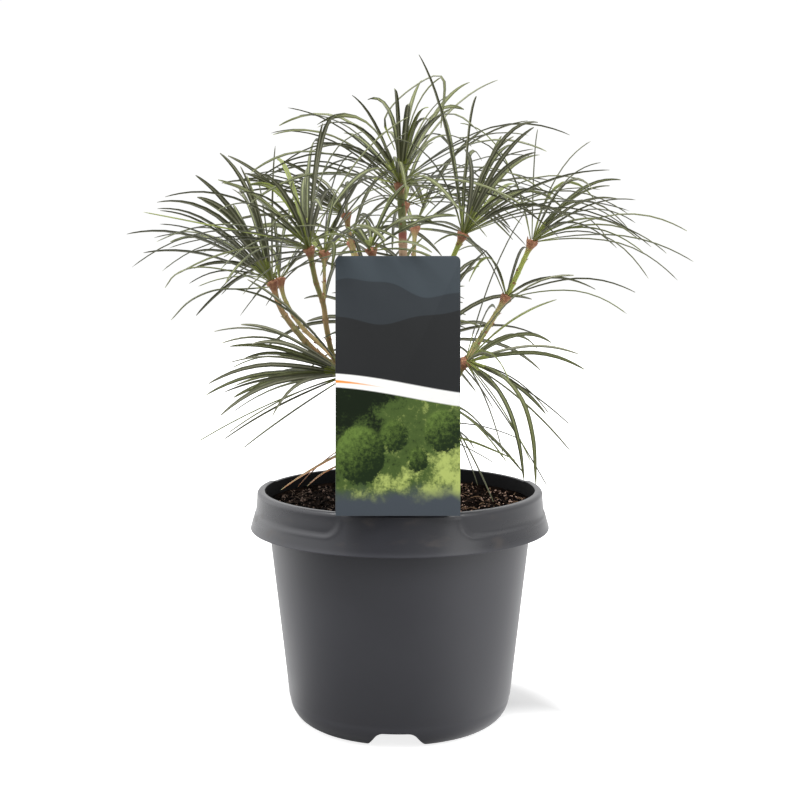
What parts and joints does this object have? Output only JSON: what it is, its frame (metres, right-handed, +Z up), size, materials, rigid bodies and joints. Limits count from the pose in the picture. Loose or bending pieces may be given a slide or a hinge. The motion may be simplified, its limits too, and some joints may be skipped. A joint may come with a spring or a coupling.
{
  "type": "potted umbrella pine",
  "caption": "Young umbrella pine with whorls of flat needles on branching shoots, standing in a round dark grey nursery pot with a plain picture card hooked over the rim.",
  "frame": {"origin": "centre of the pot's flat underside, in the plane the pot stands on", "axes": "+Z up along the pot's axis, front with the card faces -Y, +X to the right seen from the front"},
  "size_m": [0.3445, 0.3513, 0.4172],
  "materials": {
    "pot": "dark grey, satin",
    "peat": "rough, dark brown",
    "card": "slate grey, satin",
    "bark": "thin reddish brown bark",
    "shoots": "young yellow-green bark",
    "needles": "dark green, satin"
  },
  "bodies": {
    "root": {"bough_left": "bark", "bough_right": "bark", "bough_right_outer": "bark", "card": "card", "needles_back_left": "needles", "needles_back_right": "needles", "needles_foot": "needles", "needles_left_back": "needles", "needles_left_front": "needles", "needles_left_inner": "needles", "needles_left_low": "needles", "needles_left_low_back": "needles", "needles_left_skirt": "needles", "needles_low_back_left": "needles", "needles_low_back_right": "needles", "needles_low_front": "needles", "needles_low_inner": "needles", "needles_right_back": "needles", "needles_right_foot": "needles", "needles_right_high": "needles", "needles_right_inner": "needles", "needles_right_mid": "needles", "needles_right_skirt": "needles", "needles_top": "needles", "pot": "pot", "shoot_back_left": "shoots", "shoot_back_right": "shoots", "shoot_left_back": "shoots", "shoot_left_front": "shoots", "shoot_left_inner": "shoots", "shoot_left_low_back": "shoots", "shoot_low_back_left": "shoots", "shoot_low_back_right": "shoots", "shoot_low_front": "shoots", "shoot_low_inner": "shoots", "shoot_right_back": "shoots", "shoot_right_high": "shoots", "shoot_right_inner": "shoots", "soil": "peat", "trunk": "bark", "twig_left_skirt": "shoots", "twig_right_skirt": "shoots"}
  },
  "joints": []
}
